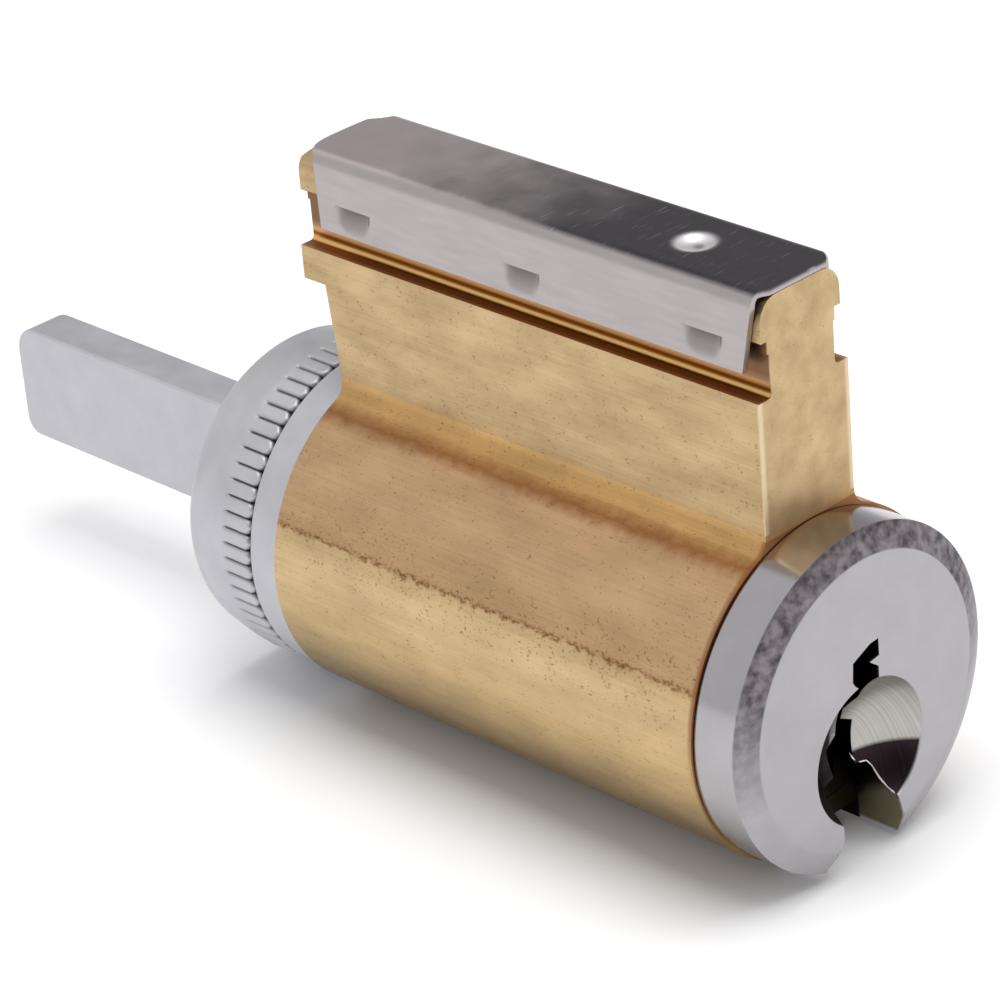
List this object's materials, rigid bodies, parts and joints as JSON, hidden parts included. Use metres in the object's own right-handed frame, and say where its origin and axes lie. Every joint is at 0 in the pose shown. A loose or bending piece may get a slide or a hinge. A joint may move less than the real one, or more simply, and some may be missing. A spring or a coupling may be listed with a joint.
{
  "type": "lock cylinder",
  "caption": "Pin tumbler lock cylinder with a pin block, a turning key plug with a dished face, a knurled rear cap and a flat tailpiece.",
  "frame": {"origin": "on the plug's axis, in the plane of the shell's front face", "axes": "+Y from the key face to the tailpiece, +Z from the plug up through the pin block, +X to the right seen from the key side"},
  "size_m": [0.0176, 0.0602, 0.0298],
  "materials": {
    "shell_brass": "machined brass, lightly tarnished",
    "plug_nickel": "satin nickel plate over brass",
    "cover_steel": "bright rolled steel strip",
    "cap_zinc": "matt plated zinc casting",
    "pin_brass": "turned brass",
    "driver_nickel": "turned nickel silver",
    "spring_steel": "drawn stainless wire"
  },
  "bodies": {
    "shell": {"shell": "shell_brass", "chamber_cover": "cover_steel", "driver_spring_1": "spring_steel", "driver_spring_2": "spring_steel", "driver_spring_3": "spring_steel", "driver_spring_4": "spring_steel", "driver_spring_5": "spring_steel", "driver_spring_6": "spring_steel"},
    "plug": {"plug": "plug_nickel", "cap_washer": "cap_zinc", "retaining_cap": "cap_zinc", "tailpiece": "cap_zinc", "cap_pin_spring": "spring_steel"},
    "cap_pin": {"cap_pin": "driver_nickel"},
    "key_pin_1": {"key_pin_1": "pin_brass"},
    "driver_pin_1": {"driver_pin_1": "driver_nickel"},
    "key_pin_2": {"key_pin_2": "pin_brass"},
    "driver_pin_2": {"driver_pin_2": "driver_nickel"},
    "key_pin_3": {"key_pin_3": "pin_brass"},
    "driver_pin_3": {"driver_pin_3": "driver_nickel"},
    "key_pin_4": {"key_pin_4": "pin_brass"},
    "driver_pin_4": {"driver_pin_4": "driver_nickel"},
    "key_pin_5": {"key_pin_5": "pin_brass"},
    "driver_pin_5": {"driver_pin_5": "driver_nickel"},
    "key_pin_6": {"key_pin_6": "pin_brass"},
    "driver_pin_6": {"driver_pin_6": "driver_nickel"}
  },
  "joints": [
    {"name": "plug_turn", "type": "hinge", "parent": "shell", "child": "plug", "pos_m": [0, 0, 0], "axis": [0, 1, 0], "continuous": true},
    {"name": "cap_pin_press", "type": "slide", "parent": "plug", "child": "cap_pin", "axis": [0, -1, 0], "range_m": [0, 0.001], "stiffness_N_per_m": 250, "springref_m": -0.001, "deforming": ["cap_pin_spring"]},
    {"name": "key_pin_1_drop", "type": "slide", "parent": "plug", "child": "key_pin_1", "axis": [0, 0, 1], "range_m": [-0.00311, 0]},
    {"name": "driver_pin_1_lift", "type": "slide", "parent": "shell", "child": "driver_pin_1", "axis": [0, 0, 1], "range_m": [0, 0.005], "stiffness_N_per_m": 100, "springref_m": -0.004, "deforming": ["driver_spring_1"]},
    {"name": "key_pin_2_drop", "type": "slide", "parent": "plug", "child": "key_pin_2", "axis": [0, 0, 1], "range_m": [-0.00196, 0]},
    {"name": "driver_pin_2_lift", "type": "slide", "parent": "shell", "child": "driver_pin_2", "axis": [0, 0, 1], "range_m": [0, 0.005], "stiffness_N_per_m": 100, "springref_m": -0.004, "deforming": ["driver_spring_2"]},
    {"name": "key_pin_3_drop", "type": "slide", "parent": "plug", "child": "key_pin_3", "axis": [0, 0, 1], "range_m": [-0.00349, 0]},
    {"name": "driver_pin_3_lift", "type": "slide", "parent": "shell", "child": "driver_pin_3", "axis": [0, 0, 1], "range_m": [0, 0.005], "stiffness_N_per_m": 100, "springref_m": -0.004, "deforming": ["driver_spring_3"]},
    {"name": "key_pin_4_drop", "type": "slide", "parent": "plug", "child": "key_pin_4", "axis": [0, 0, 1], "range_m": [-0.00234, 0]},
    {"name": "driver_pin_4_lift", "type": "slide", "parent": "shell", "child": "driver_pin_4", "axis": [0, 0, 1], "range_m": [0, 0.005], "stiffness_N_per_m": 100, "springref_m": -0.004, "deforming": ["driver_spring_4"]},
    {"name": "key_pin_5_drop", "type": "slide", "parent": "plug", "child": "key_pin_5", "axis": [0, 0, 1], "range_m": [-0.00158, 0]},
    {"name": "driver_pin_5_lift", "type": "slide", "parent": "shell", "child": "driver_pin_5", "axis": [0, 0, 1], "range_m": [0, 0.005], "stiffness_N_per_m": 100, "springref_m": -0.004, "deforming": ["driver_spring_5"]},
    {"name": "key_pin_6_drop", "type": "slide", "parent": "plug", "child": "key_pin_6", "axis": [0, 0, 1], "range_m": [-0.00273, 0]},
    {"name": "driver_pin_6_lift", "type": "slide", "parent": "shell", "child": "driver_pin_6", "axis": [0, 0, 1], "range_m": [0, 0.005], "stiffness_N_per_m": 100, "springref_m": -0.004, "deforming": ["driver_spring_6"]}
  ]
}
